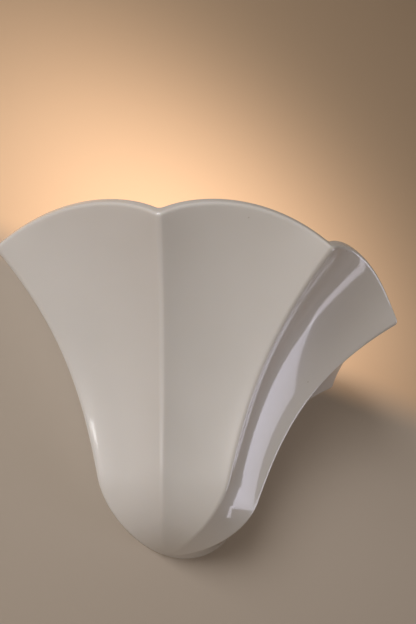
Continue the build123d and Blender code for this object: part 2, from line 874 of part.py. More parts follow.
with BuildPart() as bulb_globe:
    with BuildSketch(lamp_section) as globe_profile:
        with Locations((0, globe_z)):
            Circle(globe_radius)
            Circle(globe_radius - globe_wall, mode=Mode.SUBTRACT)
        with Locations((-globe_radius, globe_z)):
            Rectangle(2 * globe_radius, 4 * globe_radius, mode=Mode.SUBTRACT)
        with Locations((0, housing_top - globe_radius)):
            Rectangle(4 * globe_radius, 2 * globe_radius, mode=Mode.SUBTRACT)
    revolve(axis=lamp_line)
bulb_globe.part.label = "bulb_globe"
export_step(bulb_globe.part, "parts/bulb_globe.step")


# -------------------------------------------------------------------------- wiring
with BuildPart() as cable_grommet:
    with BuildSketch(from_wall(0)):
        with Locations((grommet_x, grommet_z)):
            Circle(grommet_hole)
    extrude(amount=plate_thickness)
    with BuildSketch(from_wall(plate_front)):
        with Locations((grommet_x, grommet_z)):
            Circle(grommet_lip)
    extrude(amount=grommet_front)
    fillet(cable_grommet.edges().group_by(Axis.Y)[0], grommet_front / 3)
    with BuildSketch(from_wall(0)):
        with Locations((grommet_x, grommet_z)):
            Circle(grommet_bore)
    extrude(amount=plate_thickness + grommet_front, mode=Mode.SUBTRACT)
cable_grommet.part.label = "cable_grommet"
export_step(cable_grommet.part, "parts/cable_grommet.step")

pole_places = [(x, pole_y) for x in poles]
clamp_screw_places = [
    (x, block_z + side * clamp_screw_offset) for x in poles for side in (-1, 1)
]
with BuildPart() as terminal_block:
    with BuildSketch(from_wall(plate_front)):
        with Locations((block_x, block_z)):
            RectangleRounded(block_width, block_height, block_groove)
    extrude(amount=block_depth)
    with BuildSketch(Plane.XY.offset(block_bottom)):
        with Locations(*pole_places):
            Circle(clamp_radius + bolt_clearance)
    extrude(amount=block_height, mode=Mode.SUBTRACT)
    with BuildSketch(from_wall(pole_y)):
        with Locations(*clamp_screw_places):
            Circle(clamp_screw_access)
    extrude(amount=block_depth, mode=Mode.SUBTRACT)
    with BuildSketch(from_wall(plate_front)):
        with Locations((block_screw_x, block_z)):
            Circle(block_screw_radius + bolt_clearance)
    extrude(amount=block_depth, mode=Mode.SUBTRACT)
    block_seat = plate_front - block_depth + block_counterbore_depth
    with BuildSketch(from_wall(block_seat)):
        with Locations((block_screw_x, block_z)):
            Circle(block_counterbore)
        with Locations(((poles[0] + poles[1]) / 2, block_z)):
            Rectangle(block_groove, block_height)
    extrude(amount=block_counterbore_depth, mode=Mode.SUBTRACT)
terminal_block.part.label = "terminal_block"
export_step(terminal_block.part, "parts/terminal_block.step")

with BuildPart() as terminal_clamps:
    with BuildSketch(Plane.XY.offset(block_z - clamp_length / 2)):
        with Locations(*pole_places):
            Circle(clamp_radius)
            Circle(wire_radius + bolt_clearance, mode=Mode.SUBTRACT)
    extrude(amount=clamp_length)
    with BuildSketch(from_wall(pole_y)):
        with Locations(*clamp_screw_places):
            Circle(clamp_screw_radius + bolt_clearance)
    extrude(amount=clamp_radius * 2, mode=Mode.SUBTRACT)
terminal_clamps.part.label = "terminal_clamps"
export_step(terminal_clamps.part, "parts/terminal_clamps.step")

with BuildPart() as terminal_screws:
    clamp_screw_seat = pole_y - clamp_radius - clamp_screw_radius
    for clamp_screw_place in clamp_screw_places:
        add(
            slotted_screw(
                clamp_screw_place, clamp_screw_seat, clamp_screw_head,
                clamp_screw_head_height, clamp_screw_radius,
                pole_y - wire_radius - bolt_clearance,
            )
        )
terminal_screws.part.label = "terminal_screws"
export_step(terminal_screws.part, "parts/terminal_screws.step")

with BuildPart() as block_screw:
    add(
        pan_screw(
            (block_screw_x, block_z), block_seat, block_screw_head,
            1.2 * block_screw_radius, block_screw_radius, -block_seat - wall_gap,
        )
    )
block_screw.part.label = "block_screw"
export_step(block_screw.part, "parts/block_screw.step")

earth_washer_front = arm_front - earth_washer_thickness
with BuildPart() as earth_washer:
    with BuildSketch(from_wall(arm_front)):
        with Locations((0, earth_z)):
            Circle(earth_washer_radius)
            Circle(arm_screw_radius + bolt_clearance, mode=Mode.SUBTRACT)
            with PolarLocations(earth_washer_radius, earth_teeth):
                Rectangle(earth_washer_radius / 2, earth_washer_radius / 5,
                          mode=Mode.SUBTRACT)
    extrude(amount=earth_washer_thickness)
earth_washer.part.label = "earth_washer"
export_step(earth_washer.part, "parts/earth_washer.step")

with BuildPart() as earth_lug:
    with BuildSketch(from_wall(earth_washer_front)):
        with Locations((0, earth_z)):
            Circle(lug_ring_radius)
        with Locations((-lug_ring_radius * 0.8, earth_z)):
            Rectangle(lug_ring_radius * 1.6, 2 * lug_barrel_radius)
        with Locations((0, earth_z)):
            Circle(arm_screw_radius + bolt_clearance, mode=Mode.SUBTRACT)
    extrude(amount=lug_plate)
    with BuildSketch(Plane.YZ.offset(-lug_barrel_end)):
        with Locations((pole_y, earth_z)):
            Circle(lug_barrel_radius)
    extrude(amount=lug_barrel_end - lug_ring_radius - lug_plate)
    with BuildSketch(Plane.YZ.offset(-lug_barrel_end)):
        with Locations((pole_y, earth_z)):
            Circle(wire_radius + bolt_clearance)
    extrude(amount=lug_barrel_end, mode=Mode.SUBTRACT)
earth_lug.part.label = "earth_lug"
export_step(earth_lug.part, "parts/earth_lug.step")

with BuildPart() as earth_screw:
    add(
        pan_screw(
            (0, earth_z), earth_washer_front - lug_plate, arm_screw_head * 0.85,
            arm_screw_head_height, arm_screw_radius,
            -earth_washer_front + lug_plate - wall_gap,
        )
    )
earth_screw.part.label = "earth_screw"
export_step(earth_screw.part, "parts/earth_screw.step")


def wire(points):
    """Insulated wire: straight runs joined by round bends."""
    with BuildPart() as run:
        with BuildLine() as route:
            FilletPolyline(*points, radius=wire_bend)
        start = route.line ^ 0
        with BuildSketch(start):
            Circle(wire_radius)
        sweep(path=route.line)
    return run.part


wire_in_block = block_z - wire_radius
wire_in_holder = insert_bottom - holder_terminal_height / 2
with BuildPart() as live_wire:
    add(
        wire([
            (poles[1], pole_y, wire_in_block),
            (poles[1], pole_y, wire_dip_z),
            (holder_lead_x, lamp_y, wire_dip_z),
            (holder_lead_x, lamp_y, wire_in_holder),
        ])
    )
live_wire.part.label = "live_wire"
export_step(live_wire.part, "parts/live_wire.step")

with BuildPart() as neutral_wire:
    add(
        wire([
            (poles[2], pole_y, wire_in_block),
            (poles[2], pole_y, wire_dip_z),
            (-holder_lead_x, lamp_y, wire_dip_z),
            (-holder_lead_x, lamp_y, wire_in_holder),
        ])
    )
neutral_wire.part.label = "neutral_wire"
export_step(neutral_wire.part, "parts/neutral_wire.step")

with BuildPart() as earth_wire:
    add(
        wire([
            (poles[0], pole_y, wire_in_block),
            (poles[0], pole_y, earth_z),
            (-lug_ring_radius - lug_plate, pole_y, earth_z),
        ])
    )
earth_wire.part.label = "earth_wire"
export_step(earth_wire.part, "parts/earth_wire.step")
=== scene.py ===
import json
from math import atan2, cos, pi, radians, sin, sqrt

import bmesh
import bpy
from mathutils import Matrix, Vector

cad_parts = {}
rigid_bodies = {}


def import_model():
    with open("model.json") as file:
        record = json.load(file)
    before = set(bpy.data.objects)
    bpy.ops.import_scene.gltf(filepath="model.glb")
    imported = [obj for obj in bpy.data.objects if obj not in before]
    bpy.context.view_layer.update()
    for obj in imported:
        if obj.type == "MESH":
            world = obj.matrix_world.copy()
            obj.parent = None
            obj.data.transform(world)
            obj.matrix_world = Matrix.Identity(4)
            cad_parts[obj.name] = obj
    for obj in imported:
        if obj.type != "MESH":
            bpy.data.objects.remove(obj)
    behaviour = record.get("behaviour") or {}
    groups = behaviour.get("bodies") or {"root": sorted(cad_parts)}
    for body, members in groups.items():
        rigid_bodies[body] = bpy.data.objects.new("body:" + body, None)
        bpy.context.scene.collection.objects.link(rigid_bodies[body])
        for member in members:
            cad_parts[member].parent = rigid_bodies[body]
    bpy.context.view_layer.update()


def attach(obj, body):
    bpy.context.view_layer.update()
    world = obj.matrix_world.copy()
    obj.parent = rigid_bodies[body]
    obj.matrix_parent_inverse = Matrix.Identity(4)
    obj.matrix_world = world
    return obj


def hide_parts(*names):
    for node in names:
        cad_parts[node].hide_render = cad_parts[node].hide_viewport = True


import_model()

# The sconce hangs on the wall plane Y = 0, which is the backdrop, and +Z is up.
MM = 0.001

# ------------------------------------------------------------------------ camera
# Measured on the photograph, which is 416 x 624 pixels
PHOTO_HEIGHT = 624
FOCAL_PIXELS = 1975.48
VIEW_AZIMUTH = radians(-41.388)
VIEW_ELEVATION = radians(-26.38)
VIEW_ROLL = radians(1.666)
VIEW_DISTANCE = 1328.88 * MM
VIEW_ASIDE = 22.54 * MM
VIEW_RAISED = 5.41 * MM
AIM = Vector((0, 0, 74 * MM))
SENSOR = 36.0


def make_camera():
    back = Vector((
        sin(VIEW_AZIMUTH) * cos(VIEW_ELEVATION),
        -cos(VIEW_AZIMUTH) * cos(VIEW_ELEVATION),
        sin(VIEW_ELEVATION),
    ))
    level = Vector((cos(VIEW_AZIMUTH), sin(VIEW_AZIMUTH), 0))
    raised = back.cross(level)
    right = cos(VIEW_ROLL) * level + sin(VIEW_ROLL) * raised
    up = cos(VIEW_ROLL) * raised - sin(VIEW_ROLL) * level
    place = AIM + VIEW_DISTANCE * back + VIEW_ASIDE * right + VIEW_RAISED * up
    lens = bpy.data.cameras.new("photo_lens")
    lens.sensor_width = SENSOR
    lens.lens = FOCAL_PIXELS / PHOTO_HEIGHT * SENSOR
    camera = bpy.data.objects.new("photo_camera", lens)
    turned = Matrix((right, up, back)).transposed().to_4x4()
    camera.matrix_world = Matrix.Translation(place) @ turned
    bpy.context.scene.collection.objects.link(camera)
    bpy.context.scene.camera = camera


make_camera()
bpy.context.scene.view_settings.view_transform = "Standard"


# ------------------------------------------------------------------ small helpers
def colour(red, green, blue):
    """Colour written as 0 to 255 on a screen, as the shaders want it."""
    def linear(value):
        value /= 255
        return value / 12.92 if value <= 0.04045 else ((value + 0.055) / 1.055) ** 2.4
    return (linear(red), linear(green), linear(blue), 1.0)


class Finish:
    """A material's node tree with short calls for what these finishes need."""

    def __init__(self, name, base, roughness, metallic=0.0, coat=0.0, coat_roughness=0.03):
        self.material = bpy.data.materials.new(name)
        self.material.use_nodes = True
        self.nodes = self.material.node_tree.nodes
        self.links = self.material.node_tree.links
        self.shader = self.nodes["Principled BSDF"]
        self.shader.inputs["Base Color"].default_value = colour(*base)
        self.shader.inputs["Roughness"].default_value = roughness
        self.shader.inputs["Metallic"].default_value = metallic
        self.shader.inputs["Coat Weight"].default_value = coat
        self.shader.inputs["Coat Roughness"].default_value = coat_roughness
        self.place = self.nodes.new("ShaderNodeTexCoord").outputs["Object"]

    def node(self, kind, values=None, **settings):
        made = self.nodes.new(kind)
        for setting, value in settings.items():
            setattr(made, setting, value)
        for socket, value in (values or {}).items():
            if isinstance(value, bpy.types.NodeSocket):
                self.links.new(value, made.inputs[socket])
            else:
                made.inputs[socket].default_value = value
        return made

    def mapped(self, scale=(1, 1, 1), turn=(0, 0, 0)):
        return self.node(
            "ShaderNodeMapping",
            {"Vector": self.place, "Scale": scale, "Rotation": turn},
        ).outputs["Vector"]

    def noise(self, scale, detail=3.0, rough=0.5, vector=None):
        return self.node(
            "ShaderNodeTexNoise",
            {"Vector": vector or self.place, "Scale": scale, "Detail": detail,
             "Roughness": rough},
        ).outputs["Fac"]

    def ramp(self, value, low, high, out_low=0.0, out_high=1.0):
        return self.node(
            "ShaderNodeMapRange",
            {"Value": value, "From Min": low, "From Max": high, "To Min": out_low,
             "To Max": out_high},
        ).outputs["Result"]

    def mix(self, share, first, second):
        made = self.nodes.new("ShaderNodeMix")
        made.data_type = "RGBA"
        for socket, value in ((0, share), (6, first), (7, second)):
            if isinstance(value, bpy.types.NodeSocket):
                self.links.new(value, made.inputs[socket])
            elif socket:
                made.inputs[socket].default_value = colour(*value)
            else:
                made.inputs[socket].default_value = value
        return made.outputs[2]

    def tint(self, socket_value, name="Base Color"):
        self.links.new(socket_value, self.shader.inputs[name])

    def bump(self, height, distance, strength=1.0, before=None):
        values = {"Height": height, "Distance": distance, "Strength": strength}
        if before is not None:
            values["Normal"] = before
        normal = self.node("ShaderNodeBump", values).outputs["Normal"]
        self.links.new(normal, self.shader.inputs["Normal"])
        return normal


# ------------------------------------------------------------------------- glaze
def glaze():
    """White glaze over a fine body: soft clouds and waves, and a few iron specks."""
    made = Finish("ivory_glaze", (213, 208, 204), 0.34, coat=1.0, coat_roughness=0.07)
    cloud = made.ramp(made.noise(14.0, 2.0), 0.3, 0.7)
    body = made.mix(cloud, (213, 210, 207), (218, 215, 213))
    specks = made.node(
        "ShaderNodeTexVoronoi", {"Vector": made.place, "Scale": 85.0}
    ).outputs["Distance"]
    rare = made.ramp(made.noise(23.0, 1.0), 0.60, 0.64)
    dot = made.ramp(specks, 0.035, 0.055, 1.0, 0.0)
    spotted = made.node(
        "ShaderNodeMath", {0: rare, 1: dot}, operation="MULTIPLY"
    ).outputs[0]
    made.tint(made.mix(spotted, body, (120, 96, 70)))
    waves = made.noise(26.0, 1.0)
    made.bump(waves, 0.0009, 0.35)
    made.shader.inputs["Subsurface Weight"].default_value = 0.08
    made.shader.inputs["Subsurface Radius"].default_value = (0.004, 0.003, 0.002)
    made.shader.inputs["Subsurface Scale"].default_value = 1.0
    return made.material


# --------------------------------------------------------------- metal finishes
WAVE_PERIOD = 0.314             # length of one wave of the wave texture at scale 1


def bare_metal(name, base, dull, roughness, grain=(1, 1, 1), fine=900.0):
    """Bare or plated metal: drifting tone, fine drawn grain and duller patches."""
    made = Finish(name, base, roughness, metallic=1.0)
    if dull:
        made.tint(made.mix(made.ramp(made.noise(60.0, 2.0), 0.35, 0.7), base, dull))
    streaks = made.noise(fine, 3.0, vector=made.mapped(scale=grain))
    made.tint(made.ramp(streaks, 0.3, 0.7, roughness - 0.07, roughness + 0.09), "Roughness")
    made.grain = made.bump(streaks, 0.04 * MM, 0.4)
    return made


def cut_thread(made, pitch, direction):
    """Fine turned rings, a pitch apart, along one of the axes."""
    rings = made.node(
        "ShaderNodeTexWave", {"Vector": made.place, "Scale": WAVE_PERIOD / (pitch * MM)},
        bands_direction=direction,
    ).outputs["Fac"]
    made.bump(rings, 0.35 * pitch * MM, 0.5, before=made.grain)


def zinc_plate():
    """Pressed steel with a zinc skin: faint spangle cells and a bluish cast."""
    made = bare_metal("zinc_plate", (172, 176, 180), None, 0.34, (1, 6, 1), 500.0)
    cells = made.node(
        "ShaderNodeTexVoronoi", {"Vector": made.place, "Scale": 320.0}
    ).outputs["Color"]
    shade = made.node("ShaderNodeSeparateColor", {"Color": cells}).outputs[0]
    made.tint(made.mix(made.ramp(shade, 0.0, 1.0), (178, 182, 187), (148, 150, 150)))
    return made.material


def turned_steel():
    made = bare_metal("turned_steel", (184, 184, 182), (158, 156, 150), 0.27, (4, 1, 4))
    cut_thread(made, 0.8, "Y")
    return made.material


def yellow_brass():
    made = bare_metal("yellow_brass", (206, 170, 98), (172, 134, 72), 0.28, (1, 1, 5))
    return made.material


def nipple_thread():
    """Brass tube with a fine thread along its whole length."""
    made = bare_metal("nipple_thread", (200, 162, 92), (160, 122, 66), 0.33)
    cut_thread(made, 1.0, "Z")
    return made.material


def spring_bronze():
    return bare_metal("spring_bronze", (190, 138, 96), (150, 100, 66), 0.3, (1, 1, 8)).material


def bright_nickel():
    return bare_metal("bright_nickel", (196, 190, 180), (172, 166, 154), 0.22, (8, 8, 1)).material


def cap_metal():
    """Rolled lamp cap: nickel that the press has scored round and handling has dulled."""
    made = bare_metal("cap_metal", (188, 186, 180), (150, 146, 136), 0.3, (1, 1, 30), 300.0)
    return made.material


def tinned_copper():
    made = bare_metal("tinned_copper", (196, 194, 188), (168, 164, 156), 0.4, fine=1500.0)
    return made.material


# ----------------------------------------------- moulded, fired and drawn finishes
def moulded(name, base, roughness, drift=7, skin=1400.0, depth=0.03, coat=0.0):
    """Moulded surface: slight drift of tone and the fine skin of the mould."""
    made = Finish(name, base, roughness, coat=coat, coat_roughness=0.15)
    if drift:
        paler = tuple(min(value + drift, 255) for value in base)
        made.tint(made.mix(made.ramp(made.noise(90.0, 2.0), 0.3, 0.7), base, paler))
    grain = made.noise(skin, 2.0)
    made.tint(made.ramp(grain, 0.3, 0.7, roughness - 0.05, roughness + 0.06), "Roughness")
    made.bump(grain, depth * MM, 0.4)
    return made


def holder_plastic():
    return moulded("holder_plastic", (222, 218, 208), 0.36).material


def block_plastic():
    made = moulded("block_plastic", (214, 212, 204), 0.5, skin=900.0)
    made.shader.inputs["Subsurface Weight"].default_value = 0.15
    made.shader.inputs["Subsurface Radius"].default_value = (0.003, 0.003, 0.002)
    made.shader.inputs["Subsurface Scale"].default_value = 1.0
    return made.material


def lamp_housing():
    """Pale collar of the lamp, a shade warmer towards the heat of its board."""
    made = moulded("lamp_housing", (224, 221, 213), 0.4, drift=0)
    height = made.node("ShaderNodeSeparateXYZ", {"Vector": made.place}).outputs["Z"]
    warm = made.ramp(height, 0.0, 0.035)
    made.tint(made.mix(warm, (226, 223, 216), (220, 213, 199)))
    return made.material


def fired_steatite():
    """Unglazed ceramic: dry, grainy, with a few darker grains."""
    made = moulded("fired_steatite", (206, 196, 178), 0.78, 0, 700.0, 0.08)
    grains = made.node(
        "ShaderNodeTexVoronoi", {"Vector": made.place, "Scale": 900.0}
    ).outputs["Distance"]
    dots = made.ramp(grains, 0.1, 0.2, 1.0, 0.0)
    made.tint(made.mix(dots, (209, 199, 181), (176, 162, 140)))
    return made.material


def milky_silicone():
    made = moulded("milky_silicone", (214, 212, 205), 0.55, skin=600.0)
    made.shader.inputs["Subsurface Weight"].default_value = 0.35
    made.shader.inputs["Subsurface Radius"].default_value = (0.003, 0.003, 0.003)
    made.shader.inputs["Subsurface Scale"].default_value = 1.0
    return made.material


def black_rubber():
    """Grommet rubber with a little dust from the wall in its pores."""
    made = moulded("black_rubber", (30, 30, 31), 0.72, 0, 800.0, 0.06)
    dust = made.ramp(made.noise(300.0, 4.0), 0.55, 0.75)
    made.tint(made.mix(dust, (30, 30, 31), (74, 70, 64)))
    return made.material


def black_glass():
    return moulded("black_glass", (24, 23, 25), 0.14, 5, 500.0, 0.02, coat=0.6).material


def wire_skin(name, base):
    """Drawn insulation: satin, faintly rippled and scuffed."""
    made = moulded(name, base, 0.42, 14, 420.0, 0.05)
    return made.material


def earth_skin():
    """Green with a yellow stripe that runs along the wire."""
    made = moulded("earth_skin", (44, 120, 62), 0.42, 0, 420.0, 0.05)
    stripe = made.node(
        "ShaderNodeTexWave", {"Vector": made.place, "Scale": WAVE_PERIOD / (1.5 * MM)},
        bands_direction="Y",
    ).outputs["Fac"]
    made.tint(made.mix(made.ramp(stripe, 0.48, 0.54), (44, 120, 62), (222, 196, 52)))
    return made.material


def white_board():
    """Lamp board: white lacquer over faint rings of copper."""
    made = moulded("white_board", (220, 220, 214), 0.38, drift=0)
    tracks = made.node(
        "ShaderNodeTexWave", {"Vector": made.place, "Scale": WAVE_PERIOD / (3.0 * MM)},
        wave_type="RINGS", rings_direction="Z",
    ).outputs["Fac"]
    made.tint(made.mix(made.ramp(tracks, 0.62, 0.68), (222, 222, 216), (204, 206, 196)))
    made.bump(tracks, 0.05 * MM, 0.4)
    return made.material


def driver_board():
    """Green lacquer with paler tracks in a square net."""
    made = moulded("driver_board", (34, 84, 50), 0.32, drift=0)
    tracks = made.node(
        "ShaderNodeTexBrick",
        {"Vector": made.mapped(turn=(pi / 2, 0, 0)), "Color1": colour(30, 80, 46),
         "Color2": colour(36, 90, 52), "Mortar": colour(96, 140, 92), "Scale": 1.0,
         "Mortar Size": 0.18 * MM, "Brick Width": 3.2 * MM, "Row Height": 1.6 * MM},
    ).outputs["Color"]
    made.tint(tracks)
    return made.material


def phosphor():
    """Yellow gel over the light chips, grainy like fine sugar."""
    made = moulded("phosphor", (230, 190, 70), 0.3, 12, 2600.0, 0.06)
    made.shader.inputs["Emission Color"].default_value = colour(255, 214, 130)
    made.shader.inputs["Emission Strength"].default_value = 0.6
    return made.material


GLOBE_GLOW = 1.5


def lit_opal():
    """Opal globe of the lamp, switched on: milky, evenly lit, warm."""
    made = moulded("lit_opal", (240, 232, 216), 0.42, 6, 500.0, 0.02)
    made.tint(
        made.mix(made.ramp(made.noise(45.0, 2.0), 0.3, 0.7), (255, 216, 158), (255, 222, 170)),
        "Emission Color",
    )
    made.shader.inputs["Emission Strength"].default_value = GLOBE_GLOW
    return made.material


def dress_solids():
    """Each solid that stays in view takes the finish that its slot asks for."""
    finishes = {
        "zinc_steel": zinc_plate(),
        "stud_steel": turned_steel(),
        "silicone": milky_silicone(),
        "brass": yellow_brass(),
        "nipple_brass": nipple_thread(),
        "holder_white": holder_plastic(),
        "block_white": block_plastic(),
        "steatite": fired_steatite(),
        "contact_nickel": bright_nickel(),
        "contact_bronze": spring_bronze(),
        "grommet_black": black_rubber(),
        "wire_brown": wire_skin("brown_skin", (98, 60, 40)),
        "wire_blue": wire_skin("blue_skin", (50, 92, 158)),
        "wire_earth": earth_skin(),
        "lug_tin": tinned_copper(),
        "cap_nickel": cap_metal(),
        "lamp_glass_black": black_glass(),
        "lamp_plastic": lamp_housing(),
        "board": white_board(),
        "led_phosphor": phosphor(),
        "driver_green": driver_board(),
        "opal": lit_opal(),
    }
    for solid in bpy.data.objects:
        for slot in solid.material_slots:
            if slot.material and slot.material.name in finishes:
                slot.material = finishes[slot.material.name]


dress_solids()


# ------------------------------------------------------- the shade, lofted by formula
# Heights from the lowest point, as the shade's solid has them
SCREWS_TO_TIPS = 72.0
SHADE_HEIGHT = 166.0
BOTTOM_Z = SCREWS_TO_TIPS - SHADE_HEIGHT
TIP_RADIUS = 150.0
WALL = 7.3
BOWL_HEIGHT = 38.0
FOOT_HEIGHT = 1.2
RIDGE_BOWL, VALLEY_BOWL = 47.0, 44.0
RIDGE_SPREAD, VALLEY_SPREAD = 0.296, 0.18
RIDGE_POWER, VALLEY_POWER = 3.85, 3.0
VALLEY_TIP_RADIUS = 0.8093 * TIP_RADIUS
RIDGE_FLARE = TIP_RADIUS - RIDGE_BOWL - RIDGE_SPREAD * SHADE_HEIGHT
VALLEY_FLARE = VALLEY_TIP_RADIUS - VALLEY_BOWL - VALLEY_SPREAD * SHADE_HEIGHT
ROUNDING = 3.0
HALF_RAY = pi / 8
RIM_RISE = 11.75
RIM_SLOPE = radians(51.5)
LIP = 2.2
FLUTES = 4


def opened(height, floor):
    """How far the rounded bottom has opened at a height, 0 to 1."""
    share = min(max((height - floor) / (BOWL_HEIGHT - floor), 0.0), 1.0)
    return sqrt(1 - (1 - share) ** 2)


def valley(height, share=1.0):
    flare = VALLEY_FLARE * (height / SHADE_HEIGHT) ** VALLEY_POWER
    return share * VALLEY_BOWL + VALLEY_SPREAD * height + flare


def ridge(height, share=1.0):
    if height > SHADE_HEIGHT:
        return valley(height) * TIP_RADIUS / VALLEY_TIP_RADIUS
    flare = RIDGE_FLARE * (height / SHADE_HEIGHT) ** RIDGE_POWER
    return share * RIDGE_BOWL + RIDGE_SPREAD * height + flare


def steepness(profile, height):
    return profile(height + 0.5) - profile(height - 0.5)


def half_angle(height, share):
    """Half of the angle between the two flutes that meet in a ridge."""
    half_chord = ridge(height, share) * sin(HALF_RAY)
    sag = ridge(height, share) * cos(HALF_RAY) - valley(height, share)
    return pi / 2 - HALF_RAY - 2 * atan2(sag, half_chord)


def outer_corners(height):
    share = opened(height, FOOT_HEIGHT)
    corner = ridge(height, share) + ROUNDING * (1 / sin(half_angle(height, share)) - 1)
    return corner, valley(height, share)


def inner_corners(height):
    """The same section, one wall further in."""
    share = opened(height, FOOT_HEIGHT + WALL)
    angle = half_angle(height, 1.0)
    lean = steepness(ridge, height) * sin(angle)
    corner = ridge(height) + ROUNDING * (1 / sin(angle) - 1)
    corner -= WALL * sqrt(1 + lean ** 2) / sin(angle)
    hollow = valley(height) - WALL * sqrt(1 + steepness(valley, height) ** 2)
    return share * corner, share * hollow


def flute_and_rounding(corner, hollow):
    """Where the ridge's rounding sits and ends, and the flute's arc beyond it."""
    rounding = min(ROUNDING, 0.25 * hollow)
    bend = 2 * (corner * cos(HALF_RAY) - hollow) / (corner ** 2 - hollow ** 2)

    def on_arc(depth, from_valley):
        reach = depth * (2 - depth * bend)
        level = cos(from_valley)
        return reach / (level + sqrt(max(level ** 2 - bend * reach, 0.0)))

    centre = on_arc(hollow - rounding, HALF_RAY)
    to_flute = Vector((cos(HALF_RAY) - bend * centre, sin(HALF_RAY))).normalized()
    touch = Vector((centre, 0)) + rounding * to_flute
    return centre, rounding, atan2(touch.y, touch.x), on_arc


def section_point(corner, hollow, across, on_rounding):
    """Point at a share of the rounding or of the flute, before it is turned to its ray."""
    centre, rounding, touch, on_arc = flute_and_rounding(corner, hollow)
    if on_rounding:
        angle = across * touch
        slip = max(rounding ** 2 - (centre * sin(angle)) ** 2, 0.0)
        return centre * cos(angle) + sqrt(slip), angle
    angle = touch + across * (HALF_RAY - touch)
    return on_arc(hollow, HALF_RAY - angle), angle


ROUND_STEPS = 5
FLUTE_STEPS = 15
COLUMNS_PER_HALF = ROUND_STEPS + FLUTE_STEPS
COLUMNS = COLUMNS_PER_HALF * 2 * FLUTES


def column_point(column, height, corners):
    """Point of the wall at a column of the mesh, counted from the left wall edge."""
    half, step = divmod(column, COLUMNS_PER_HALF)
    if half % 2:
        step = COLUMNS_PER_HALF - step
    on_rounding = step <= ROUND_STEPS
    across = step / ROUND_STEPS if on_rounding else (step - ROUND_STEPS) / FLUTE_STEPS
    radius, angle = section_point(*corners(height), across, on_rounding)
    turn = half // 2 * 2 * HALF_RAY
    turn += 2 * HALF_RAY - angle if half % 2 else angle
    return Vector((-radius * cos(turn), -radius * sin(turn), BOTTOM_Z + height))


def above_rim(point, lobe):
    """How far a point stands above one lobe's arched rim, along the rim's own plane."""
    middle = (2 * lobe + 1) * HALF_RAY
    outward = Vector((-cos(middle), -sin(middle), 0))
    aside = Vector((sin(middle), -cos(middle), 0)).dot(point)
    raised = (point.z - SCREWS_TO_TIPS) * cos(RIM_SLOPE) + point.dot(outward) * sin(RIM_SLOPE)
    half_chord = TIP_RADIUS * sin(HALF_RAY)
    arch = (half_chord ** 2 + RIM_RISE ** 2) / (2 * RIM_RISE)
    chord = TIP_RADIUS * cos(HALF_RAY) * sin(RIM_SLOPE)
    return raised - chord - RIM_RISE + arch - sqrt(arch ** 2 - aside ** 2)


def rim_height(column, corners):
    """Height at which a column meets the rim, by halving."""
    lobe = min(column // (2 * COLUMNS_PER_HALF), FLUTES - 1)
    low, high = BOWL_HEIGHT, SHADE_HEIGHT + 30.0
    for _ in range(32):
        middle = (low + high) / 2
        if above_rim(column_point(column, middle, corners), lobe) > 0:
            high = middle
        else:
            low = middle
    return low


BOWL_ROWS = 16
FLARE_ROWS = 66
LIP_ROWS = 5
WALL_ROWS = 2
SIDE_ROWS = BOWL_ROWS + FLARE_ROWS
ROWS = 2 * (SIDE_ROWS + LIP_ROWS) + WALL_ROWS


def side_height(row, floor, top):
    """Height of a row: even steps round the bowl, then even steps up the flare."""
    if row <= BOWL_ROWS:
        return floor + (BOWL_HEIGHT - floor) * (1 - cos(row / BOWL_ROWS * pi / 2))
    return BOWL_HEIGHT + (top - BOWL_HEIGHT) * (row - BOWL_ROWS) / FLARE_ROWS


def side_point(column, row, top, floor, corners):
    if row == 0:
        return Vector((0, 0, BOTTOM_Z + floor))
    return column_point(column, side_height(row, floor, top), corners)


def lip_curve(start, edge, end, share):
    """Glaze rounds an edge: a curve from one face to the next that the edge pulls."""
    return start.lerp(edge, share).lerp(edge.lerp(end, share), share)


def column_path(column):
    """One column of the shade: up the outside, over the lip and down the inside."""
    outer_top = rim_height(column, outer_corners)
    inner_top = rim_height(column, inner_corners)
    outer_edge = column_point(column, outer_top, outer_corners)
    inner_edge = column_point(column, inner_top, inner_corners)
    outer_below = outer_top - LIP * 0.7
    inner_below = inner_top - LIP * 0.7
    over = (inner_edge - outer_edge).normalized() * LIP
    outer_start = column_point(column, outer_below, outer_corners)
    inner_start = column_point(column, inner_below, inner_corners)
    path = [
        side_point(column, row, outer_below, FOOT_HEIGHT, outer_corners)
        for row in range(SIDE_ROWS + 1)
    ]
    path += [
        lip_curve(outer_start, outer_edge, outer_edge + over, (row + 1) / LIP_ROWS)
        for row in range(LIP_ROWS)
    ]
    path += [
        (outer_edge + over).lerp(inner_edge - over, (row + 1) / WALL_ROWS)
        for row in range(WALL_ROWS)
    ]
    path += [
        lip_curve(inner_edge - over, inner_edge, inner_start, (row + 1) / LIP_ROWS)
        for row in range(LIP_ROWS)
    ]
    path += [
        side_point(column, SIDE_ROWS - 1 - row, inner_below, FOOT_HEIGHT + WALL, inner_corners)
        for row in range(SIDE_ROWS)
    ]
    return path


def shade_shell():
    """A grid drawn over the shade's wall, closed where the wall cuts it."""
    shell = bmesh.new()
    bmesh.ops.create_grid(shell, x_segments=COLUMNS, y_segments=ROWS, size=0.5)
    paths = [column_path(column) for column in range(COLUMNS + 1)]
    for vert in shell.verts:
        column = round((vert.co.x + 0.5) * COLUMNS)
        row = round((vert.co.y + 0.5) * ROWS)
        vert.co = paths[column][row] * MM
        if column in (0, COLUMNS):
            vert.co.y = 0.0
    bmesh.ops.remove_doubles(shell, verts=shell.verts, dist=0.001 * MM)
    for face in shell.faces:
        face.smooth = True
    border = [edge for edge in shell.edges if edge.is_boundary]
    back = bmesh.ops.holes_fill(shell, edges=border, sides=0)["faces"]
    for face in back:
        face.smooth = False
    for edge in border:
        edge.smooth = False
    bmesh.ops.recalc_face_normals(shell, faces=shell.faces)
    bmesh.ops.triangulate(shell, faces=back)
    return shell


